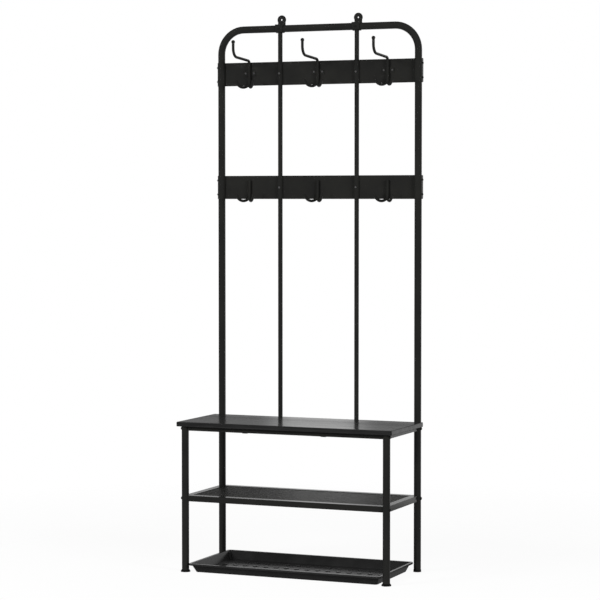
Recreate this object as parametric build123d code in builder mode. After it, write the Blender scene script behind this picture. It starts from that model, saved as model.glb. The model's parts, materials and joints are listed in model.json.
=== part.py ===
from build123d import *
from math import cos, hypot, radians, sin
import os

# Hall tree with hooks: a tubular steel frame with a bench board, a mesh shelf, a boot tray
# and two rails of hooks. Millimetres, +Z up, the open front faces -Y, left is -X.
# The origin is the bottom centre of the whole object.

# Round tubes
tube_r = 12.5  # legs and hoop
tube_wall = 1.2
rod_r = 8.0  # the two slim uprights between the legs
rod_wall = 1.0

# Layout in plan
leg_pitch_x = 740.0
leg_pitch_y = 305.0
rod_pitch_x = 288.0
hook_inset_x = 110.0  # outer hooks inside the legs' axes
board_overhang_front = 20.0  # board edge ahead of the front legs' axes
board_overhang_side = 25.0  # board edge outside the legs' axes

# Heights
overall_height = 1930.0
seat_height = 520.0
shelf_height = 265.0
upper_rail_drop = 156.0  # middle of the rail below the hoop's axis
rail_spacing = 399.0
joint_above_seat = 13.0  # parting line between hoop and rear legs

# Hoop
hoop_bend_r = 85.0
swage_length = 50.0  # reduced ends that plug into the rear legs
swage_gap = 0.1

# Wall brackets on top of the slim uprights
strap_gap = 0.1
strap_t = 2.4
strap_w = 28.0
strap_front_rise = 14.5  # front lip above the hoop's axis
lug_r = 16.0
lug_hole_r = 2.75
lug_rise = 32.0  # lug eye above the hoop's axis

# Feet
pad_h = 7.0
pad_gap = 0.3
front_pad_r = 16.5
front_pad_top_r = 14.0
foot_stem_r = 4.0
foot_stem_length = 26.0
foot_insert_length = 24.0
stem_gap = 0.05
pad_rim_h = 3.0
rear_pad_r = 13.5
plug_length = 22.0
plug_gap = 0.1

# Bench and shelf frames: flat tube rims, notched round the legs
frame_w = 25.0
frame_out = 5.0  # rim face outside the legs' axes
frame_wall = 1.2
frame_gap = 0.1
bench_frame_h = 14.5
shelf_frame_h = 20.0
board_t = 16.0
board_gap = 0.5  # board to hoop
board_edge_r = 2.5
board_corner_r = 3.0
brace_w = 17.0
brace_t = 1.5
brace_lap = 3.0  # brace under the rear rim
mesh_t = 1.2
mesh_lap = 8.0  # mesh under the rim it is welded to
mesh_cols = 10
mesh_rows = 7
mesh_strand = 8.0

# Rails
rail_h = 82.0
rail_t = 2.0
rail_gap = 0.1
rail_flange = 9.6  # flange behind the uprights' axes
rail_corner_r = 5.0
rail_end_screw_lift = 24.7

# Hooks
wire_r = 4.75
ball_r = 6.5
plate_t = 2.0
plate_w = 44.0
plate_h = 20.0
plate_lift = 3.0  # plate above the middle of the rail
plate_corner_r = 4.0
plate_screw_pitch = 31.0
weld_sink = 0.6  # wire sunk into the plate
hat_reach = 144.0  # upturned end ahead of the rail
hat_tip_rise = 104.0  # ball above the middle of the rail
hat_arm_rise = 54.4  # front end of the arm
hat_root_rise = 46.0  # arm where it leaves the rail
hat_front_bend_r = 30.0
hat_root_bend_r = 12.0
coat_bar_rise = 26.0  # upper end of the bar above the middle of the rail
coat_screw_lift = 15.0
coat_screw_bite = 7.0
fork_reach = 4.0  # fork point ahead of the bar
fork_rise = 2.2  # fork point above the rail's lower edge
fork_slope_rise = 20.0  # where the bar turns forward, above the lower edge
fork_bend_r = 12.0
fork_bead_r = 5.1
prong_yaw = 40.0
prong_fold_reach = 34.3  # corner the prong is bent round, from the fork point
prong_fold_drop = 21.3
prong_end_reach = 49.0
prong_end_rise = 10.0
prong_bend_r = 28.0
tip_r = 5.0  # rounded tips of the prongs and of the coat bar

# Screws and bolts
bolt_r = 2.5
bolt_head_r = 5.25
bolt_head_h = 3.0
screw_r = 2.0
screw_head_r = 3.6
screw_head_h = 2.4
dome_share = 0.7  # of the head's height
socket_share = 0.38  # of the head's radius
hole_gap = 0.2
thread_gap = 0.05
bench_bolt_drop = 7.5  # below the top of the bench frame
shelf_bolt_drop = 10.0
insert_r = 3.5
insert_length = 12.0
nut_af = 7.0
nut_t = 3.2
nut_tail = 0.8  # screw past its nut
end_screw_length = 12.0
end_screw_head_h = 4.0
end_screw_back = 1.0  # behind the uprights' axes
rod_screw_length = 8.0
strap_screw_length = 8.0
screw_bite = 12.0  # thread in the board and in the rods' inserts
screw_bore_past = 0.5
board_screw_pitch_x = 500.0
board_screw_pitch_y = 190.0
rod_insert_length = 18.0
rod_plug_length = 15.0

# Boot tray
tray_side_gap = 4.5  # rim to the legs' inner sides
tray_depth = 340.0
tray_h = 31.0
tray_wall = 2.2
tray_lip = 6.5
tray_lip_drop = 6.0
tray_slope_x = 12.5
tray_slope_y = 18.0
tray_rim_r = 15.0
tray_mouth_r = 10.0
tray_floor_r = 10.0
tray_boss_r = 9.0
tray_boss_h = 2.0
tray_boss_pitch_x = 39.0
tray_boss_pitch_y = 60.0
tray_boss_cols = 16
tray_boss_rows = 4

# Derived places
wall_reach = tube_r + strap_gap + strap_t
overall_depth = board_overhang_front + leg_pitch_y + wall_reach
front_leg_y = board_overhang_front - overall_depth / 2
rear_leg_y = front_leg_y + leg_pitch_y
legs_mid_y = (front_leg_y + rear_leg_y) / 2
leg_x = leg_pitch_x / 2
hook_pitch_x = leg_x - hook_inset_x
rod_x = rod_pitch_x / 2
tube_bore_r = tube_r - tube_wall
rod_bore_r = rod_r - rod_wall
leg_bottom = pad_h + pad_gap
bench_frame_top = seat_height - board_t
bench_frame_bottom = bench_frame_top - bench_frame_h
bench_bolt_z = bench_frame_top - bench_bolt_drop
shelf_bolt_z = shelf_height - shelf_bolt_drop
joint_z = seat_height + joint_above_seat
hoop_axis_z = overall_height - lug_r - lug_rise
rod_top = hoop_axis_z - wall_reach
upper_rail_height = hoop_axis_z - upper_rail_drop
lower_rail_height = upper_rail_height - rail_spacing
rail_levels = (("lower", lower_rail_height), ("upper", upper_rail_height))
rail_wrap_r = tube_r + rail_gap + rail_t
rod_wrap_r = rod_r + rail_gap + rail_t
swage_r = tube_bore_r - swage_gap
plug_r = tube_bore_r - plug_gap
rod_plug_r = rod_bore_r - plug_gap
frame_x = leg_pitch_x + 2 * frame_out
frame_y = leg_pitch_y + 2 * frame_out
window_x = frame_x - 2 * frame_w
window_y = frame_y - 2 * frame_w
mesh_pitch_x = window_x / mesh_cols
mesh_pitch_y = window_y / mesh_rows
mesh_open_share = 1 - mesh_strand * hypot(mesh_pitch_x, mesh_pitch_y) / (mesh_pitch_x * mesh_pitch_y)
mesh_open_x = mesh_open_share * mesh_pitch_x / 2
mesh_open_y = mesh_open_share * mesh_pitch_y / 2
notch_r = tube_r + frame_gap
lug_z = hoop_axis_z + lug_rise
hat_wire_y = rear_leg_y - plate_t - wire_r + weld_sink
coat_wire_y = rear_leg_y - tip_r
plate_z = upper_rail_height + plate_lift
nut_screw_length = plate_t + rail_t + nut_t + nut_tail
leg_points = [(x, y) for x in (-leg_x, leg_x) for y in (front_leg_y, rear_leg_y)]
sides = (("left", -1), ("right", 1))
hook_places = (("left", -hook_pitch_x), ("centre", 0.0), ("right", hook_pitch_x))
low = (Align.CENTER, Align.CENTER, Align.MIN)
high = (Align.CENTER, Align.CENTER, Align.MAX)

os.makedirs("parts", exist_ok=True)


def save(name, piece):
    piece.part.label = name
    export_step(piece.part, f"parts/{name}.step")


def facing(x, y, z, direction):
    # a seat plane whose normal leaves the surface
    return Location(Plane(origin=(x, y, z), z_dir=direction))


def pan_screw(head_r, head_h, shank_r, shank_length):
    # the seat is at the origin, the domed head with its socket above it, the shank below
    with BuildPart() as screw:
        Cylinder(head_r, head_h, align=low)
        fillet(screw.edges().sort_by(Axis.Z)[-1], head_h * dome_share)
        with BuildSketch(Plane.XY.offset(head_h)):
            RegularPolygon(head_r * socket_share, 6)
        extrude(amount=-head_h / 2, mode=Mode.SUBTRACT)
        Cylinder(shank_r, shank_length, align=high)
    return screw.part


def threaded_sleeve(outer_r, bore_r, length):
    # the mouth is at the origin and the sleeve runs below it
    with BuildPart() as sleeve:
        Cylinder(outer_r, length, align=high)
        Cylinder(bore_r, length, align=high, mode=Mode.SUBTRACT)
    return sleeve.part


def hex_nut(across_flats, thickness, bore_r):
    with BuildPart() as nut:
        with BuildSketch():
            RegularPolygon(across_flats / 2, 6, major_radius=False)
            Circle(bore_r, mode=Mode.SUBTRACT)
        extrude(amount=thickness)
    return nut.part


# ---- Uprights ----

# Hoop: one bent tube whose reduced ends plug into the rear legs.
with BuildPart() as upper_hoop:
    with BuildLine(Plane.XZ.offset(-rear_leg_y)) as hoop_path:
        FilletPolyline(
            (-leg_x, joint_z),
            (-leg_x, hoop_axis_z),
            (leg_x, hoop_axis_z),
            (leg_x, joint_z),
            radius=hoop_bend_r,
        )
    with BuildSketch(Plane.XY.offset(joint_z)):
        with Locations((-leg_x, rear_leg_y)):
            Circle(tube_r)
            Circle(tube_bore_r, mode=Mode.SUBTRACT)
    sweep(path=hoop_path.line)
    with Locations((-leg_x, rear_leg_y, joint_z), (leg_x, rear_leg_y, joint_z)):
        Cylinder(swage_r, swage_length, align=high)
        Cylinder(tube_r - tube_wall / 2, 2 * tube_wall, align=low)
        Cylinder(swage_r - tube_wall, 3 * swage_length, mode=Mode.SUBTRACT)
    for _, side in sides:
        with Locations(facing(side * leg_x, rear_leg_y, bench_bolt_z, (side, 0, 0))):
            Cylinder(bolt_r + hole_gap, 4 * tube_r, mode=Mode.SUBTRACT)
        with Locations(facing(side * rod_x, rear_leg_y - tube_r, hoop_axis_z, (0, -1, 0))):
            Cylinder(screw_r + thread_gap, 3 * tube_wall, mode=Mode.SUBTRACT)
        for _, level in rail_levels:
            for lift in (-rail_end_screw_lift, rail_end_screw_lift):
                wall_x = side * (leg_x + tube_r)
                with Locations(facing(wall_x, rear_leg_y + end_screw_back, level + lift, (side, 0, 0))):
                    Cylinder(screw_r + thread_gap, 8 * tube_wall, mode=Mode.SUBTRACT)
save("upper_hoop", upper_hoop)

# Legs: open tubes; the rear ones stand on past the bench to the parting line.
for side_name, side in sides:
    for row_name, row_y, top_z in (("front", front_leg_y, bench_frame_top), ("rear", rear_leg_y, joint_z)):
        with BuildPart() as leg:
            with BuildSketch(Plane.XY.offset(leg_bottom)):
                with Locations((side * leg_x, row_y)):
                    Circle(tube_r)
                    Circle(tube_bore_r, mode=Mode.SUBTRACT)
            extrude(amount=top_z - leg_bottom)
            for bolt_z in (shelf_bolt_z, bench_bolt_z):
                with Locations(facing(side * leg_x, row_y, bolt_z, (side, 0, 0))):
                    Cylinder(bolt_r + hole_gap, 4 * tube_r, mode=Mode.SUBTRACT)
        save(f"{row_name}_leg_{side_name}", leg)

# Slim rods between the bench frame and the wall brackets.
for side_name, side in sides:
    with BuildPart() as back_rod:
        with BuildSketch(Plane.XY.offset(bench_frame_top)):
            with Locations((side * rod_x, rear_leg_y)):
                Circle(rod_r)
                Circle(rod_bore_r, mode=Mode.SUBTRACT)
        extrude(amount=rod_top - bench_frame_top)
        for _, level in rail_levels:
            with Locations(facing(side * rod_x, rear_leg_y, level, (0, -1, 0))):
                Cylinder(screw_r + thread_gap, 2 * rod_r, align=low, mode=Mode.SUBTRACT)
    save(f"back_rod_{side_name}", back_rod)

rod_insert = threaded_sleeve(rod_plug_r, screw_r + thread_gap, rod_insert_length)
with BuildPart() as rod_inserts:
    for _, side in sides:
        with Locations(facing(side * rod_x, rear_leg_y, bench_frame_top, (0, 0, -1))):
            add(rod_insert)
save("rod_inserts", rod_inserts)

flange_screw = pan_screw(screw_head_r, screw_head_h, screw_r, frame_wall + screw_bite)
with BuildPart() as rod_base_screws:
    for _, side in sides:
        with Locations(facing(side * rod_x, rear_leg_y, bench_frame_top - frame_wall, (0, 0, -1))):
            add(flange_screw)
save("rod_base_screws", rod_base_screws)

# ---- Wall brackets ----

# A strap lies round the hoop from its front, under it and up its back to an eye.
for side_name, side in sides:
    with BuildPart() as wall_bracket:
        with BuildSketch(Plane.YZ.offset(side * rod_x - strap_w / 2)):
            with Locations((rear_leg_y, hoop_axis_z)):
                Circle(wall_reach)
                Rectangle(
                    3 * wall_reach,
                    2 * wall_reach,
                    align=(Align.CENTER, Align.MIN),
                    mode=Mode.SUBTRACT,
                )
                Rectangle(2 * wall_reach, strap_front_rise, align=(Align.CENTER, Align.MIN))
            with Locations((rear_leg_y + wall_reach, hoop_axis_z)):
                Rectangle(strap_t, lug_rise, align=(Align.MAX, Align.MIN))
            with Locations((rear_leg_y, hoop_axis_z)):
                Circle(tube_r + strap_gap, mode=Mode.SUBTRACT)
                Rectangle(
                    2 * (tube_r + strap_gap),
                    2 * lug_rise,
                    align=(Align.CENTER, Align.MIN),
                    mode=Mode.SUBTRACT,
                )
        extrude(amount=strap_w)
        with Locations(facing(side * rod_x, rear_leg_y + wall_reach, lug_z, (0, 1, 0))):
            Cylinder(lug_r, strap_t, align=high)
            Cylinder(lug_hole_r, 3 * strap_t, mode=Mode.SUBTRACT)
        with Locations((side * rod_x, rear_leg_y, rod_top - rod_plug_length)):
            Cylinder(rod_plug_r, rod_plug_length + strap_t * 0.9, align=low)
        with Locations(facing(side * rod_x, rear_leg_y - wall_reach, hoop_axis_z, (0, -1, 0))):
            Cylinder(screw_r + hole_gap, 3 * strap_t, mode=Mode.SUBTRACT)
    save(f"wall_bracket_{side_name}", wall_bracket)

strap_screw = pan_screw(screw_head_r, screw_head_h, screw_r, strap_screw_length)
with BuildPart() as wall_bracket_screws:
    for _, side in sides:
        with Locations(facing(side * rod_x, rear_leg_y - wall_reach, hoop_axis_z, (0, -1, 0))):
            add(strap_screw)
save("wall_bracket_screws", wall_bracket_screws)

# ---- Feet ----

# Front feet: a pad on a threaded stem that screws up into an insert in the leg.
for side_name, side in sides:
    with BuildPart() as front_foot:
        with Locations((side * leg_x, front_leg_y, 0)):
            Cylinder(front_pad_r, pad_rim_h, align=low)
        with Locations((side * leg_x, front_leg_y, pad_rim_h)):
            Cone(front_pad_r, front_pad_top_r, pad_h - pad_rim_h, align=low)
        with Locations((side * leg_x, front_leg_y, pad_h)):
            Cylinder(foot_stem_r, foot_stem_length, align=low)
    save(f"front_foot_{side_name}", front_foot)

foot_insert = threaded_sleeve(plug_r, foot_stem_r + stem_gap, foot_insert_length)
with BuildPart() as front_foot_inserts:
    for _, side in sides:
        with Locations(facing(side * leg_x, front_leg_y, leg_bottom, (0, 0, -1))):
            add(foot_insert)
save("front_foot_inserts", front_foot_inserts)

# Rear feet: plain plugs with a wider head under the tube.
for side_name, side in sides:
    with BuildPart() as rear_foot:
        with Locations((side * leg_x, rear_leg_y, 0)):
            Cylinder(rear_pad_r, leg_bottom, align=low)
        with Locations((side * leg_x, rear_leg_y, leg_bottom)):
            Cylinder(plug_r, plug_length, align=low)
    save(f"rear_foot_{side_name}", rear_foot)

# ---- Bench ----

board_screw_points = []
for step in (-1, 0, 1):
    board_screw_points.append((step * board_screw_pitch_x / 2, (frame_w - frame_y) / 2 + legs_mid_y))
for _, side in sides:
    for y in (-board_screw_pitch_y / 2, board_screw_pitch_y / 2):
        board_screw_points.append((side * (frame_x - frame_w) / 2, legs_mid_y + y))

# Frame: a pressed rim, open below, notched round the legs, and two T-section braces.
with BuildPart() as bench_frame:
    with BuildSketch(Plane.XY.offset(bench_frame_bottom)):
        with Locations((0, legs_mid_y)):
            Rectangle(frame_x, frame_y)
        with Locations(*leg_points):
            Circle(notch_r, mode=Mode.SUBTRACT)
    extrude(amount=bench_frame_h)
    with BuildSketch(Plane.XY.offset(bench_frame_bottom)):
        with Locations((0, legs_mid_y)):
            Rectangle(frame_x - 2 * frame_wall, frame_y - 2 * frame_wall)
            Rectangle(window_x + 2 * frame_wall, window_y + 2 * frame_wall, mode=Mode.SUBTRACT)
        with Locations(*leg_points):
            Circle(notch_r + frame_wall, mode=Mode.SUBTRACT)
    extrude(amount=bench_frame_h - frame_wall, mode=Mode.SUBTRACT)
    with BuildSketch(Plane.XY.offset(bench_frame_bottom)):
        with Locations((0, legs_mid_y)):
            Rectangle(window_x, window_y)
    extrude(amount=bench_frame_h, mode=Mode.SUBTRACT)
    with BuildSketch(Plane.XY.offset(bench_frame_bottom)):
        with Locations((-rod_x, legs_mid_y), (rod_x, legs_mid_y)):
            Rectangle(brace_t, window_y + frame_wall)
    extrude(amount=bench_frame_h)
    with BuildSketch(Plane.XY.offset(bench_frame_bottom)):
        with Locations((-rod_x, front_leg_y - frame_out), (rod_x, front_leg_y - frame_out)):
            Rectangle(brace_w, frame_y - frame_w + brace_lap, align=(Align.CENTER, Align.MIN))
    extrude(amount=-brace_t)
    for x, y in leg_points:
        inward = -x / leg_x
        with Locations(facing(x + inward * notch_r, y, bench_bolt_z, (inward, 0, 0))):
            Cylinder(insert_r + thread_gap, 4 * frame_wall, mode=Mode.SUBTRACT)
    with Locations(*[(x, y, bench_frame_top) for x, y in board_screw_points]):
        Cylinder(screw_r + hole_gap, 3 * frame_wall, mode=Mode.SUBTRACT)
    with Locations((-rod_x, rear_leg_y, bench_frame_top), (rod_x, rear_leg_y, bench_frame_top)):
        Cylinder(screw_r + hole_gap, 3 * frame_wall, mode=Mode.SUBTRACT)
save("bench_frame", bench_frame)

# Board: overhangs the frame at the front and the sides, stops short of the hoop at the rear.
board_x = leg_pitch_x + 2 * board_overhang_side
board_front_y = front_leg_y - board_overhang_front
board_y = rear_leg_y - tube_r - board_gap - board_front_y
with BuildPart() as bench_board:
    with BuildSketch(Plane.XY.offset(bench_frame_top)):
        with Locations((0, board_front_y + board_y / 2)):
            RectangleRounded(board_x, board_y, board_corner_r)
    extrude(amount=board_t)
    fillet(bench_board.faces().sort_by(Axis.Z)[-1].edges(), board_edge_r)
    fillet(bench_board.faces().sort_by(Axis.Z)[0].edges(), board_edge_r)
    with Locations(*[(x, y, bench_frame_top) for x, y in board_screw_points]):
        Cylinder(screw_r + thread_gap, 2 * (screw_bite + screw_bore_past), mode=Mode.SUBTRACT)
save("bench_board", bench_board)

with BuildPart() as board_screws:
    for x, y in board_screw_points:
        with Locations(facing(x, y, bench_frame_top - frame_wall, (0, 0, -1))):
            add(flange_screw)
save("board_screws", board_screws)

# ---- Shelf ----

# Frame: a top flange and an outer skirt, notched round the legs.
with BuildPart() as shelf_frame:
    with BuildSketch(Plane.XY.offset(shelf_height - shelf_frame_h)):
        with Locations((0, legs_mid_y)):
            Rectangle(frame_x, frame_y)
        with Locations(*leg_points):
            Circle(notch_r, mode=Mode.SUBTRACT)
    extrude(amount=shelf_frame_h)
    with BuildSketch(Plane.XY.offset(shelf_height - shelf_frame_h)):
        with Locations((0, legs_mid_y)):
            Rectangle(frame_x - 2 * frame_wall, frame_y - 2 * frame_wall)
        with Locations(*leg_points):
            Circle(notch_r + frame_wall, mode=Mode.SUBTRACT)
    extrude(amount=shelf_frame_h - frame_wall, mode=Mode.SUBTRACT)
    with BuildSketch(Plane.XY.offset(shelf_height - shelf_frame_h)):
        with Locations((0, legs_mid_y)):
            Rectangle(window_x, window_y)
    extrude(amount=shelf_frame_h, mode=Mode.SUBTRACT)
    for x, y in leg_points:
        inward = -x / leg_x
        with Locations(facing(x + inward * notch_r, y, shelf_bolt_z, (inward, 0, 0))):
            Cylinder(insert_r + thread_gap, 4 * frame_wall, mode=Mode.SUBTRACT)
save("shelf_frame", shelf_frame)

# Mesh: one expanded sheet welded under the flange, with coarse diamonds in staggered rows.
mesh_corners = [(-mesh_open_x, 0), (0, -mesh_open_y), (mesh_open_x, 0), (0, mesh_open_y)]
with BuildPart() as shelf_mesh:
    with BuildSketch(Plane.XY.offset(shelf_height - frame_wall)):
        with Locations((0, legs_mid_y)):
            Rectangle(window_x + 2 * mesh_lap, window_y + 2 * mesh_lap)
            for fewer in (0, 1):
                with GridLocations(mesh_pitch_x, mesh_pitch_y, mesh_cols - fewer, mesh_rows - fewer):
                    Polygon(*mesh_corners, align=None, mode=Mode.SUBTRACT)
    extrude(amount=-mesh_t)
save("shelf_mesh", shelf_mesh)

# ---- Bolts of both frames ----

bolt_length = 2 * tube_r + frame_gap + insert_length
bolt = pan_screw(bolt_head_r, bolt_head_h, bolt_r, bolt_length)
insert = threaded_sleeve(insert_r, bolt_r + thread_gap, insert_length)
for frame_name, bolt_z in (("bench", bench_bolt_z), ("shelf", shelf_bolt_z)):
    with BuildPart() as bolts:
        for x, y in leg_points:
            outward = x / leg_x
            with Locations(facing(x + outward * tube_r, y, bolt_z, (outward, 0, 0))):
                add(bolt)
    save(f"{frame_name}_bolts", bolts)

    with BuildPart() as inserts:
        for x, y in leg_points:
            outward = x / leg_x
            with Locations(facing(x - outward * notch_r, y, bolt_z, (outward, 0, 0))):
                add(insert)
    save(f"{frame_name}_inserts", inserts)

# ---- Hook rails ----

# Each rail is a strip with saddles over the fronts of the rods and the uprights, and a
# flange at each end that runs back along the upright's outer side.
for rail_name, level in rail_levels:
    with BuildPart() as hook_rail:
        with BuildSketch(Plane.XY.offset(level - rail_h / 2)):
            with Locations((-rod_x, rear_leg_y), (rod_x, rear_leg_y)):
                Circle(rod_wrap_r)
            with Locations((-leg_x, rear_leg_y), (leg_x, rear_leg_y)):
                Circle(rail_wrap_r)
            with Locations((0, rear_leg_y)):
                Rectangle(
                    2 * frame_x,
                    2 * rail_wrap_r,
                    align=(Align.CENTER, Align.MIN),
                    mode=Mode.SUBTRACT,
                )
                Rectangle(leg_pitch_x, rail_t, align=(Align.CENTER, Align.MIN))
            for _, side in sides:
                with Locations((side * (leg_x + rail_wrap_r - rail_t / 2), rear_leg_y)):
                    Rectangle(rail_t, rail_flange, align=(Align.CENTER, Align.MIN))
                with Locations((side * leg_x, rear_leg_y)):
                    Circle(tube_r + rail_gap, mode=Mode.SUBTRACT)
                    Rectangle(
                        2 * (tube_r + rail_gap),
                        rail_flange,
                        align=(Align.CENTER, Align.MIN),
                        mode=Mode.SUBTRACT,
                    )
                with Locations((side * rod_x, rear_leg_y)):
                    Circle(rod_r + rail_gap, mode=Mode.SUBTRACT)
                    Rectangle(
                        2 * (rod_r + rail_gap),
                        rail_flange,
                        align=(Align.CENTER, Align.MIN),
                        mode=Mode.SUBTRACT,
                    )
        extrude(amount=rail_h)
        fillet(hook_rail.edges().filter_by(Axis.X).group_by(Axis.Y)[-1], rail_corner_r)
        for _, side in sides:
            with Locations(facing(side * rod_x, rear_leg_y - rod_wrap_r, level, (0, -1, 0))):
                Cylinder(screw_r + hole_gap, 3 * rail_t, mode=Mode.SUBTRACT)
            for lift in (-rail_end_screw_lift, rail_end_screw_lift):
                flange_x = side * (leg_x + rail_wrap_r)
                with Locations(facing(flange_x, rear_leg_y + end_screw_back, level + lift, (side, 0, 0))):
                    Cylinder(screw_r + hole_gap, 3 * rail_t, mode=Mode.SUBTRACT)
        for _, hook_x in hook_places:
            if rail_name == "upper":
                holes = [(hook_x + step * plate_screw_pitch / 2, plate_z) for step in (-1, 1)]
            else:
                holes = [(hook_x, level + step * coat_screw_lift) for step in (-1, 1)]
            for hole_x, hole_z in holes:
                with Locations(facing(hole_x, rear_leg_y, hole_z, (0, -1, 0))):
                    Cylinder(screw_r + hole_gap, 3 * rail_t, mode=Mode.SUBTRACT)
    save(f"hook_rail_{rail_name}", hook_rail)

end_screw = pan_screw(screw_head_r, end_screw_head_h, screw_r, end_screw_length)
with BuildPart() as rail_end_screws:
    for _, side in sides:
        for _, level in rail_levels:
            for lift in (-rail_end_screw_lift, rail_end_screw_lift):
                flange_x = side * (leg_x + rail_wrap_r)
                with Locations(facing(flange_x, rear_leg_y + end_screw_back, level + lift, (side, 0, 0))):
                    add(end_screw)
save("rail_end_screws", rail_end_screws)

rod_screw = pan_screw(screw_head_r, screw_head_h, screw_r, rod_screw_length)
with BuildPart() as rod_rail_screws:
    for _, side in sides:
        for _, level in rail_levels:
            with Locations(facing(side * rod_x, rear_leg_y - rod_wrap_r, level, (0, -1, 0))):
                add(rod_screw)
save("rod_rail_screws", rod_rail_screws)

# ---- Hooks ----


def wire_run(plane, points, bend_radii, end_r):
    # round wire through points in the plane, with a ball on its far end
    with BuildPart() as run:
        with BuildLine(plane) as path:
            FilletPolyline(*points, radius=bend_radii)
        with BuildSketch(Plane(origin=path.line @ 0, z_dir=path.line % 0)):
            Circle(wire_r)
        sweep(path=path.line)
        with Locations(path.line @ 1):
            Sphere(end_r)
    return run.part


def prong_pair(hook_x, bar_y, rail_low_z):
    # two prongs that dip, part and turn up from the fork point at the bar's lower end
    fork_point = (hook_x, bar_y - fork_reach, rail_low_z + fork_rise)
    pair = []
    for _, side in sides:
        ahead = (side * sin(radians(prong_yaw)), -cos(radians(prong_yaw)), 0)
        prong_plane = Plane(origin=fork_point, x_dir=ahead, z_dir=(ahead[1], -ahead[0], 0))
        prong_points = [(0, 0), (prong_fold_reach, -prong_fold_drop), (prong_end_reach, prong_end_rise)]
        pair.append(wire_run(prong_plane, prong_points, prong_bend_r, tip_r))
    return pair


# Hat hook: a plate on the rail, and one wire from the ball down to the fork.
for place_name, hook_x in hook_places:
    rail_low_z = upper_rail_height - rail_h / 2
    long_wire = wire_run(
        Plane.YZ.offset(hook_x),
        [
            (hat_wire_y - fork_reach, rail_low_z + fork_rise),
            (hat_wire_y, rail_low_z + fork_slope_rise),
            (hat_wire_y, upper_rail_height + hat_root_rise),
            (rear_leg_y - hat_reach, upper_rail_height + hat_arm_rise),
            (rear_leg_y - hat_reach, upper_rail_height + hat_tip_rise),
        ],
        (fork_bend_r, hat_root_bend_r, hat_front_bend_r),
        ball_r,
    )
    prongs = prong_pair(hook_x, hat_wire_y, rail_low_z)
    with BuildPart() as hat_hook:
        add(long_wire)
        add(prongs)
        with Locations((hook_x, hat_wire_y - fork_reach, rail_low_z + fork_rise)):
            Sphere(fork_bead_r)
        with BuildSketch(Plane.XZ.offset(-rear_leg_y)):
            with Locations((hook_x, plate_z)):
                RectangleRounded(plate_w, plate_h, plate_corner_r)
                with GridLocations(plate_screw_pitch, 0, 2, 1):
                    Circle(screw_r + hole_gap, mode=Mode.SUBTRACT)
        extrude(amount=plate_t)
    save(f"hat_hook_{place_name}", hat_hook)

# Coat hook: the same fork on a short bar, screwed on from behind the rail.
for place_name, hook_x in hook_places:
    rail_low_z = lower_rail_height - rail_h / 2
    short_wire = wire_run(
        Plane.YZ.offset(hook_x),
        [
            (coat_wire_y - fork_reach, rail_low_z + fork_rise),
            (coat_wire_y, rail_low_z + fork_slope_rise),
            (coat_wire_y, lower_rail_height + coat_bar_rise - tip_r),
        ],
        fork_bend_r,
        tip_r,
    )
    prongs = prong_pair(hook_x, coat_wire_y, rail_low_z)
    with BuildPart() as coat_hook:
        add(short_wire)
        add(prongs)
        with Locations((hook_x, coat_wire_y - fork_reach, rail_low_z + fork_rise)):
            Sphere(fork_bead_r)
        for step in (-1, 1):
            screw_z = lower_rail_height + step * coat_screw_lift
            with Locations(facing(hook_x, rear_leg_y, screw_z, (0, 1, 0))):
                Cylinder(
                    screw_r + thread_gap,
                    coat_screw_bite,
                    align=high,
                    mode=Mode.SUBTRACT,
                )
    save(f"coat_hook_{place_name}", coat_hook)

nut_screw = pan_screw(screw_head_r, screw_head_h, screw_r, nut_screw_length)
with BuildPart() as hat_hook_screws:
    for _, hook_x in hook_places:
        for step in (-1, 1):
            screw_x = hook_x + step * plate_screw_pitch / 2
            with Locations(facing(screw_x, rear_leg_y - plate_t, plate_z, (0, -1, 0))):
                add(nut_screw)
save("hat_hook_screws", hat_hook_screws)

nut = hex_nut(nut_af, nut_t, screw_r + thread_gap)
with BuildPart() as hat_hook_nuts:
    for _, hook_x in hook_places:
        for step in (-1, 1):
            screw_x = hook_x + step * plate_screw_pitch / 2
            with Locations(facing(screw_x, rear_leg_y + rail_t, plate_z, (0, 1, 0))):
                add(nut)
save("hat_hook_nuts", hat_hook_nuts)

back_screw = pan_screw(screw_head_r, screw_head_h, screw_r, rail_t + coat_screw_bite - thread_gap)
with BuildPart() as coat_hook_screws:
    for _, hook_x in hook_places:
        for step in (-1, 1):
            screw_z = lower_rail_height + step * coat_screw_lift
            with Locations(facing(hook_x, rear_leg_y + rail_t, screw_z, (0, 1, 0))):
                add(back_screw)
save("coat_hook_screws", coat_hook_screws)

# ---- Boot tray ----

tray_x = leg_pitch_x - 2 * tube_r - 2 * tray_side_gap
tray_y = board_front_y + tray_depth / 2
mouth_x = tray_x - 2 * tray_lip
mouth_y = tray_depth - 2 * tray_lip
floor_x = mouth_x - 2 * tray_slope_x
floor_y = mouth_y - 2 * tray_slope_y
boss_points = []
for row in range(tray_boss_rows):
    for col in range(tray_boss_cols):
        boss_x = (col - (tray_boss_cols - 1) / 2 + (row % 2) / 2 - 0.25) * tray_boss_pitch_x
        boss_y = tray_y + (row - (tray_boss_rows - 1) / 2) * tray_boss_pitch_y
        boss_points.append((boss_x, boss_y))

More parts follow.
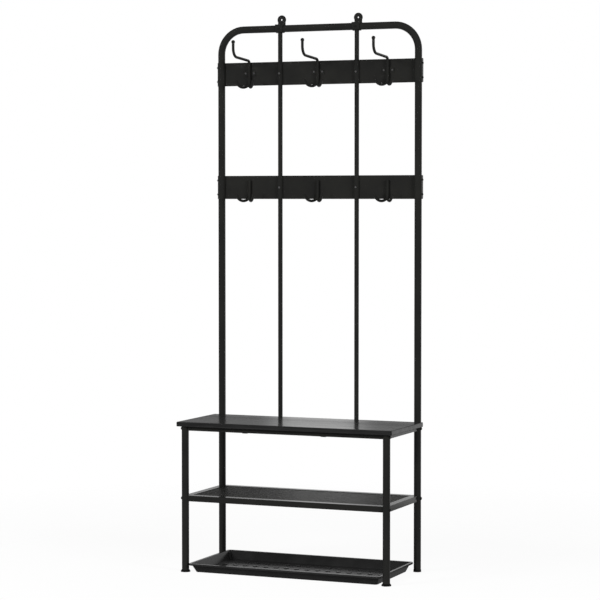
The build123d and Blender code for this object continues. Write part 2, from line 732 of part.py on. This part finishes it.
# Sloping walls, a rim turned out and down, and raised discs on the floor.
with BuildPart() as boot_tray:
    with BuildSketch(Plane.XY):
        with Locations((0, tray_y)):
            RectangleRounded(floor_x, floor_y, tray_floor_r)
    with BuildSketch(Plane.XY.offset(tray_h)):
        with Locations((0, tray_y)):
            RectangleRounded(mouth_x, mouth_y, tray_mouth_r)
    loft()
    with BuildSketch(Plane.XY.offset(tray_h - tray_lip_drop)):
        with Locations((0, tray_y)):
            RectangleRounded(tray_x, tray_depth, tray_rim_r)
            RectangleRounded(
                tray_x - 2 * tray_wall,
                tray_depth - 2 * tray_wall,
                tray_rim_r - tray_wall,
                mode=Mode.SUBTRACT,
            )
    extrude(amount=tray_lip_drop)
    with BuildSketch(Plane.XY.offset(tray_h - tray_wall)):
        with Locations((0, tray_y)):
            RectangleRounded(tray_x, tray_depth, tray_rim_r)
    extrude(amount=tray_wall)
    with BuildSketch(Plane.XY.offset(tray_wall)):
        with Locations((0, tray_y)):
            RectangleRounded(floor_x - 2 * tray_wall, floor_y - 2 * tray_wall, tray_floor_r - tray_wall)
    with BuildSketch(Plane.XY.offset(tray_h)):
        with Locations((0, tray_y)):
            RectangleRounded(mouth_x - 2 * tray_wall, mouth_y - 2 * tray_wall, tray_mouth_r - tray_wall)
    loft(mode=Mode.SUBTRACT)
    with BuildSketch(Plane.XY.offset(tray_wall)):
        with Locations(*boss_points):
            Circle(tray_boss_r)
    extrude(amount=tray_boss_h)
save("boot_tray", boot_tray)
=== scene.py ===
import json
import math

import bmesh
import bpy
from mathutils import Matrix, Vector


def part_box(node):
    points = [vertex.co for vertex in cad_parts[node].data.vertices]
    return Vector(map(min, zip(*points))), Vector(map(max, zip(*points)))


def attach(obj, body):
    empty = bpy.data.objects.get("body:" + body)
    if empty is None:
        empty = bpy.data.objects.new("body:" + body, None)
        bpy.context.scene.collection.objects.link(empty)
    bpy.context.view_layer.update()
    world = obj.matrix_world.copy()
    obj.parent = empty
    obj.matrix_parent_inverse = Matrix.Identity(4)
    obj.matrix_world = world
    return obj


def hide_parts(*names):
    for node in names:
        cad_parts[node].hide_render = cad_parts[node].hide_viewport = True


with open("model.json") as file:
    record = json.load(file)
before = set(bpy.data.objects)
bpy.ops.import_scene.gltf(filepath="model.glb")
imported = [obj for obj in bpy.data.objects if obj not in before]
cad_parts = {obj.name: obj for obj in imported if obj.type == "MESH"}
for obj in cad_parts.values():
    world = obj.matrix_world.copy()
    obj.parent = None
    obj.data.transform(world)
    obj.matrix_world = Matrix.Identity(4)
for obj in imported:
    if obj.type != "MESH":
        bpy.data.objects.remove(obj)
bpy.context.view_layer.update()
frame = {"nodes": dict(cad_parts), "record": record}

nodes = frame["nodes"]
slotOf = {part["node"]: part["material_slot"] for part in frame["record"]["subparts"]}
scene = bpy.context.scene
mm = 0.001


def linear(hexColour):
    # sRGB hex to the linear values that Blender mixes
    channels = [int(hexColour[i:i + 2], 16) / 255 for i in (0, 2, 4)]
    channels = [c / 12.92 if c <= 0.04045 else ((c + 0.055) / 1.055) ** 2.4 for c in channels]
    return (*channels, 1.0)


def addNode(tree, kind, settings=None, links=None):
    # settings go to sockets or properties by name, stops to a colour ramp, links to sockets
    node = tree.nodes.new(kind)
    for name, value in (settings or {}).items():
        if name == "stops":
            elements = node.color_ramp.elements
            while len(elements) < len(value):
                elements.new(0.5)
            for element, (place, colour) in zip(elements, value):
                element.position, element.color = place, colour
        elif isinstance(name, int) or name in node.inputs:
            node.inputs[name].default_value = value
        else:
            setattr(node, name, value)
    for name, source in (links or {}).items():
        tree.links.new(source, node.inputs[name])
    return node


def newMaterial(name):
    material = bpy.data.materials.new(name)
    material.use_nodes = True
    material.node_tree.nodes.clear()
    return material, material.node_tree


def inMillimetres(tree, lengthRatio=1):
    # Object coordinates in millimetres; the ratio draws a pattern that many times longer along X
    coords = addNode(tree, "ShaderNodeTexCoord")
    place = addNode(tree, "ShaderNodeMapping", {"Scale": (1 / mm / lengthRatio, 1 / mm, 1 / mm)},
                    {"Vector": coords.outputs["Object"]})
    return place.outputs["Vector"]


def addObject(name, bm, material):
    # a finished bmesh becomes an object that sits at the origin
    mesh = bpy.data.meshes.new(name)
    bm.to_mesh(mesh)
    bm.free()
    mesh.materials.append(material)
    obj = bpy.data.objects.new(name, mesh)
    scene.collection.objects.link(obj)
    return obj


# polyester powder baked on steel tube and strip: satin near-black with a faint orange peel
tubePowder = {
    "base": "1c1c1b", "pale": "21211f", "cloudMm": 90.0, "cloudRange": (0.35, 0.7),
    "grainMm": 0.9, "grainHeightMm": 0.2, "bump": 0.05,
    "roughness": (0.14, 0.22), "specular": 0.4,
}
# the same powder lies rougher on the slit sheet, so its strands shine less
meshPowder = {**tubePowder, "roughness": (0.2, 0.3)}
# polypropylene from a lightly eroded mould: soft even sheen, a touch paler than the frame
trayPlastic = {**tubePowder, "base": "202020", "pale": "262626", "cloudMm": 60.0, "grainMm": 1.1,
               "roughness": (0.2, 0.28), "specular": 0.3}
# soft moulded plastic of the feet: dull black, its grain just visible
footPlastic = {**tubePowder, "base": "101010", "pale": "161616", "cloudMm": 20.0, "grainMm": 1.0,
               "roughness": (0.55, 0.7), "specular": 0.2, "bump": 0.1}


def grainedBlack(name, settings):
    # fine pebble in the gloss and the relief, over a slow drift of tone
    material, tree = newMaterial(name)
    place = inMillimetres(tree)
    grain = addNode(tree, "ShaderNodeTexNoise",
                    {"Scale": 1 / settings["grainMm"], "Detail": 3.0}, {"Vector": place})
    cloud = addNode(tree, "ShaderNodeTexNoise",
                    {"Scale": 1 / settings["cloudMm"], "Detail": 2.0}, {"Vector": place})
    tones = [linear(settings["base"]), linear(settings["pale"])]
    colour = addNode(tree, "ShaderNodeValToRGB", {"stops": list(zip(settings["cloudRange"], tones))},
                     {"Fac": cloud.outputs["Fac"]})
    low, high = settings["roughness"]
    rough = addNode(tree, "ShaderNodeMapRange", {"To Min": low, "To Max": high},
                    {"Value": grain.outputs["Fac"]})
    bump = addNode(tree, "ShaderNodeBump",
                   {"Strength": settings["bump"], "Distance": settings["grainHeightMm"] * mm},
                   {"Height": grain.outputs["Fac"]})
    shader = addNode(tree, "ShaderNodeBsdfPrincipled", {"Specular IOR Level": settings["specular"]},
                     {"Base Color": colour.outputs["Color"], "Roughness": rough.outputs["Result"],
                      "Normal": bump.outputs["Normal"]})
    addNode(tree, "ShaderNodeOutputMaterial", links={"Surface": shader.outputs[0]})
    return material


# wood-grain foil on board under satin lacquer: fine pores along the length, over a slow ripple
boardFoil = {
    "tones": ((0.34, "121212"), (0.5, "202020"), (0.68, "303030")),  # from the pores to the open grain
    "figureMm": 36.0, "rippleMm": 1.0, "lengthRatio": 40,  # grain runs along the board
    "streakMm": 2.2, "streakShare": 0.55, "poreDepthMm": 0.2, "bump": 0.2,
    "grainRange": (0.3, 0.7), "roughness": (0.32, 0.12), "specular": 0.4,  # pores are the duller end
}


def woodFoil(name, settings):
    material, tree = newMaterial(name)
    place = inMillimetres(tree, settings["lengthRatio"])
    figure = addNode(tree, "ShaderNodeTexNoise",
                     {"Scale": 1 / settings["figureMm"], "Detail": 2.0, "Distortion": 0.3}, {"Vector": place})
    streak = addNode(tree, "ShaderNodeTexNoise",
                     {"Scale": 1 / settings["streakMm"], "Detail": 5.0, "Roughness": 0.65}, {"Vector": place})
    grain = addNode(tree, "ShaderNodeMix", {"data_type": "FLOAT", "Factor": settings["streakShare"]},
                    {2: figure.outputs["Fac"], 3: streak.outputs["Fac"]})
    tones = [(at, linear(tone)) for at, tone in settings["tones"]]
    colour = addNode(tree, "ShaderNodeValToRGB", {"stops": tones}, {"Fac": grain.outputs[0]})
    lowest, highest = settings["grainRange"]
    dull, shiny = settings["roughness"]
    rough = addNode(tree, "ShaderNodeMapRange",
                    {"From Min": lowest, "From Max": highest, "To Min": dull, "To Max": shiny},
                    {"Value": grain.outputs[0]})
    ripple = addNode(tree, "ShaderNodeBump", {"Distance": settings["rippleMm"] * mm},
                     {"Height": figure.outputs["Fac"]})
    pores = addNode(tree, "ShaderNodeBump",
                    {"Strength": settings["bump"], "Distance": settings["poreDepthMm"] * mm},
                    {"Height": streak.outputs["Fac"], "Normal": ripple.outputs["Normal"]})
    shader = addNode(tree, "ShaderNodeBsdfPrincipled", {"Specular IOR Level": settings["specular"]},
                     {"Base Color": colour.outputs["Color"], "Roughness": rough.outputs["Result"],
                      "Normal": pores.outputs["Normal"]})
    addNode(tree, "ShaderNodeOutputMaterial", links={"Surface": shader.outputs[0]})
    return material


# electroplated zinc on the screws: a bright soft grey with a faint crystalline mottle
brightScrews = {"base": "dadbdb", "pale": "ebebeb", "mottleMm": 1.0, "mottleRange": (0.1, 0.8),
                "roughness": (0.35, 0.5)}
# the hidden fittings are plated without brightener: darker and duller
hiddenFittings = {**brightScrews, "base": "8f9092", "pale": "a9aaab", "roughness": (0.4, 0.55)}


def zincPlate(name, settings):
    material, tree = newMaterial(name)
    mottle = addNode(tree, "ShaderNodeTexVoronoi", {"Scale": 1 / settings["mottleMm"]},
                     {"Vector": inMillimetres(tree)})
    tones = [linear(settings["base"]), linear(settings["pale"])]
    colour = addNode(tree, "ShaderNodeValToRGB", {"stops": list(zip(settings["mottleRange"], tones))},
                     {"Fac": mottle.outputs["Distance"]})
    low, high = settings["roughness"]
    rough = addNode(tree, "ShaderNodeMapRange", {"To Min": low, "To Max": high},
                    {"Value": mottle.outputs["Distance"]})
    shader = addNode(tree, "ShaderNodeBsdfPrincipled", {"Metallic": 1.0},
                     {"Base Color": colour.outputs["Color"], "Roughness": rough.outputs["Result"]})
    addNode(tree, "ShaderNodeOutputMaterial", links={"Surface": shader.outputs[0]})
    return material


powderCoatBlack = grainedBlack("powderCoatBlack", tubePowder)
finishBySlot = {
    "black_frame": powderCoatBlack,
    "black_fasteners": powderCoatBlack,
    "black_mesh": grainedBlack("powderCoatMesh", meshPowder),
    "wood_board": woodFoil("woodGrainFoil", boardFoil),
    "tray_black": grainedBlack("mouldedPolypropylene", trayPlastic),
    "foot_rubber": grainedBlack("mouldedFoot", footPlastic),
    "zinc_screws": zincPlate("brightZincPlate", brightScrews),
    "zinc_hidden": zincPlate("dullZincPlate", hiddenFittings),
}
for name, obj in nodes.items():
    obj.data.materials.clear()
    obj.data.materials.append(finishBySlot[slotOf[name]])
print("materials made")


expanded = {
    "longMm": 12.0, "shortMm": 6.5, "strandMm": 2.0, "thickMm": 0.6,
    "tilt": 0.1,  # rise of a strand over its depth
    "spareCells": 2, "sharpAngle": 35, "cutMm": 0.0001,
}


def expandedSheet():
    # slit and stretched sheet: diamonds across the width, their strands tipped to the front
    low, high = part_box("shelf_mesh")
    size, middle = high - low, (high + low) / 2
    cell = Vector((expanded["longMm"], expanded["shortMm"])) * mm
    count = math.ceil(size.x / cell.x + size.y / cell.y) + expanded["spareCells"]
    bm = bmesh.new()
    bmesh.ops.create_grid(bm, x_segments=count, y_segments=count, size=count / 2)
    turn = Matrix.Rotation(math.radians(45), 4, "Z")
    half = math.sqrt(0.5)
    squash = Matrix.Diagonal((cell.x * half, cell.y * half, 1, 1))
    bmesh.ops.transform(bm, matrix=Matrix.Translation(middle) @ squash @ turn, verts=bm.verts)
    for edge, normal in ((low, (-1, 0, 0)), (low, (0, -1, 0)), (high, (1, 0, 0)), (high, (0, 1, 0))):
        bmesh.ops.bisect_plane(bm, geom=bm.verts[:] + bm.edges[:] + bm.faces[:], dist=expanded["cutMm"] * mm,
                               plane_co=edge, plane_no=normal, clear_outer=True)
    diamonds = bm.faces[:]
    bmesh.ops.inset_individual(bm, faces=diamonds, thickness=expanded["strandMm"] * mm / 2)
    for diamond in diamonds:
        centre = diamond.calc_center_median()
        for vert in diamond.verts:
            vert.co.z -= expanded["tilt"] * (vert.co.y - centre.y)
    bmesh.ops.delete(bm, geom=diamonds, context="FACES")
    lift = high.z - middle.z - expanded["tilt"] * cell.y / 2  # the highest strand ends at the top of the box
    bmesh.ops.transform(bm, matrix=Matrix.Translation((0, 0, lift)), verts=bm.verts)
    sheet = addObject("expandedMesh", bm, finishBySlot["black_mesh"])
    sheet.data.shade_smooth()
    sheet.data.set_sharp_from_angle(angle=math.radians(expanded["sharpAngle"]))
    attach(sheet, "frame")
    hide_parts("shelf_mesh")
    shell = sheet.modifiers.new("thickness", "SOLIDIFY")
    shell.thickness = expanded["thickMm"] * mm
    shell.offset = -1


expandedSheet()
print("mesh made")


def backgroundRays(tree, mirrored):
    # white for rays straight from the camera or through glass, a set level in reflections
    path = addNode(tree, "ShaderNodeLightPath")
    seen = addNode(tree, "ShaderNodeMath", {"operation": "MAXIMUM"},
                   {0: path.outputs["Is Camera Ray"], 1: path.outputs["Is Transmission Ray"]})
    dimmed = addNode(tree, "ShaderNodeMath", {"operation": "MULTIPLY", 1: mirrored},
                     {0: path.outputs["Is Glossy Ray"]})
    level = addNode(tree, "ShaderNodeMath", {"operation": "MAXIMUM"},
                    {0: seen.outputs[0], 1: dimmed.outputs[0]})
    shown = addNode(tree, "ShaderNodeMath", {"operation": "MAXIMUM"},
                    {0: seen.outputs[0], 1: path.outputs["Is Glossy Ray"]})
    return level.outputs[0], shown.outputs[0]


room = {"fill": 0.15, "mirrored": 0.12}  # level of the surroundings for matt faces, and in reflections

world = bpy.data.worlds.new("studio")
scene.world = world
world.use_nodes = True
tree = world.node_tree
tree.nodes.clear()
level, shown = backgroundRays(tree, room["mirrored"])
fill = addNode(tree, "ShaderNodeBackground", {"Color": (1, 1, 1, 1), "Strength": room["fill"]})
white = addNode(tree, "ShaderNodeBackground", {"Color": (1, 1, 1, 1)}, {"Strength": level})
surroundings = addNode(tree, "ShaderNodeMixShader", links={0: shown, 1: fill.outputs[0], 2: white.outputs[0]})
addNode(tree, "ShaderNodeOutputWorld", links={"Surface": surroundings.outputs[0]})

floorPaper = {
    "colour": "fafafa", "bounce": "a0a0a0",  # bounce is the colour that lights the object from below
    "radius": 2.6, "sides": 96, "fade": (1.0, 2.496),  # clear at the rim
    "white": 0.93,  # share of plain white, the rest keeps the shadow
    "mirrored": 0.2,
}

bm = bmesh.new()
bmesh.ops.create_circle(bm, cap_ends=True, segments=floorPaper["sides"], radius=floorPaper["radius"])
paper, tree = newMaterial("paperFloor")
coords = addNode(tree, "ShaderNodeTexCoord")
reach = addNode(tree, "ShaderNodeVectorMath", {"operation": "LENGTH"}, {0: coords.outputs["Object"]})
inner, outer = floorPaper["fade"]
fade = addNode(tree, "ShaderNodeMapRange", {"From Min": inner, "From Max": outer},
               {"Value": reach.outputs["Value"]})
path = addNode(tree, "ShaderNodeLightPath")
paint = addNode(tree, "ShaderNodeMix",
                {"data_type": "RGBA", 6: linear(floorPaper["bounce"]), 7: linear(floorPaper["colour"])},
                {0: path.outputs["Is Camera Ray"]})
matt = addNode(tree, "ShaderNodeBsdfDiffuse", links={"Color": paint.outputs[2]})
level, shown = backgroundRays(tree, floorPaper["mirrored"])
glow = addNode(tree, "ShaderNodeEmission", {"Color": (1, 1, 1, 1)}, {"Strength": level})
share = addNode(tree, "ShaderNodeMath", {"operation": "MULTIPLY", 1: floorPaper["white"]}, {0: shown})
lit = addNode(tree, "ShaderNodeMixShader",
              links={0: share.outputs[0], 1: matt.outputs[0], 2: glow.outputs[0]})
clear = addNode(tree, "ShaderNodeBsdfTransparent")
faded = addNode(tree, "ShaderNodeMixShader",
                links={0: fade.outputs[0], 1: lit.outputs[0], 2: clear.outputs[0]})
addNode(tree, "ShaderNodeOutputMaterial", links={"Surface": faded.outputs[0]})
floor = addObject("floor", bm, paper)

lamps = {
    "key": {"place": (-3.0, -4.4, 2.7), "aim": (0, 0, 0.9), "width": 1.8, "watts": 290.0},
    "side": {"place": (4.4, -2.2, 2.5), "aim": (0, 0, 0.9), "width": 1.8, "watts": 230.0},
}

for name, settings in lamps.items():
    lamp = bpy.data.lights.new(name, "AREA")
    lamp.size = settings["width"]
    lamp.energy = settings["watts"]
    holder = bpy.data.objects.new(name, lamp)
    holder.location = settings["place"]
    aim = Vector(settings["aim"]) - Vector(settings["place"])
    holder.rotation_euler = aim.to_track_quat("-Z", "Y").to_euler()
    holder.visible_camera = False
    holder.visible_glossy = False  # reflections come from the surroundings
    scene.collection.objects.link(holder)

# backdrop that only reflections see: white panels with dim cloth between them, and a paler sweep low down
backdrop = {
    "place": 1.7, "width": 6.0, "height": 2.6, "cloth": 0.24,
    # along X: where a panel starts, is full, is full until and ends, then its level
    "panels": ((-0.92, -0.73, -0.53, -0.35, 0.75), (0.6, 0.9, 2.4, 2.7, 0.6)),
    "sweepTop": (0.5, 0.74), "sweep": 0.72,  # heights between which the sweep fades, and its level
}

bm = bmesh.new()
bmesh.ops.create_grid(bm, x_segments=1, y_segments=1, size=0.5)
upright = Matrix.Rotation(math.radians(90), 4, "X")
size = Matrix.Diagonal((backdrop["width"], 1, backdrop["height"], 1))
place = Matrix.Translation((0, backdrop["place"], backdrop["height"] / 2))
bmesh.ops.transform(bm, matrix=place @ size @ upright, verts=bm.verts)
cloth, tree = newMaterial("litBackdrop")
coords = addNode(tree, "ShaderNodeTexCoord")
axes = addNode(tree, "ShaderNodeSeparateXYZ", links={0: coords.outputs["Object"]})
edge = backdrop["width"] / 2
along = addNode(tree, "ShaderNodeMapRange", {"From Min": -edge, "From Max": edge},
                {"Value": axes.outputs["X"]})
stops = []
for *turns, full in backdrop["panels"]:
    for x, grey in zip(turns, (backdrop["cloth"], full, full, backdrop["cloth"])):
        stops.append(((x + edge) / backdrop["width"], (grey, grey, grey, 1)))
stripes = addNode(tree, "ShaderNodeValToRGB", {"stops": stops}, {"Fac": along.outputs[0]})
stripes.color_ramp.interpolation = "EASE"
bottom, top = backdrop["sweepTop"]
sweep = addNode(tree, "ShaderNodeMapRange",
                {"From Min": bottom, "From Max": top, "To Min": backdrop["sweep"], "To Max": 0.0},
                {"Value": axes.outputs["Z"]})
shades = addNode(tree, "ShaderNodeMix", {"data_type": "RGBA", "blend_type": "LIGHTEN", 0: 1.0},
                 {6: stripes.outputs["Color"], 7: sweep.outputs["Result"]})
glow = addNode(tree, "ShaderNodeEmission", {"Strength": 1.0}, {"Color": shades.outputs[2]})
addNode(tree, "ShaderNodeOutputMaterial", links={"Surface": glow.outputs[0]})
screen = addObject("backdrop", bm, cloth)
screen.visible_camera = False
screen.visible_diffuse = False
screen.visible_transmission = False
screen.visible_shadow = False

camera = {"place": (2.923, -6.9935, 1.281), "turn": 22.712, "tilt": 2.581, "lensMm": 132.53, "sensorMm": 36.0}

lens = bpy.data.cameras.new("camera")
lens.lens = camera["lensMm"]
lens.sensor_width = camera["sensorMm"]
viewer = bpy.data.objects.new("camera", lens)
viewer.location = camera["place"]
viewer.rotation_euler = (math.radians(90 - camera["tilt"]), 0, math.radians(camera["turn"]))
scene.collection.objects.link(viewer)
scene.camera = viewer
scene.view_settings.view_transform = "Standard"
print("studio ready")
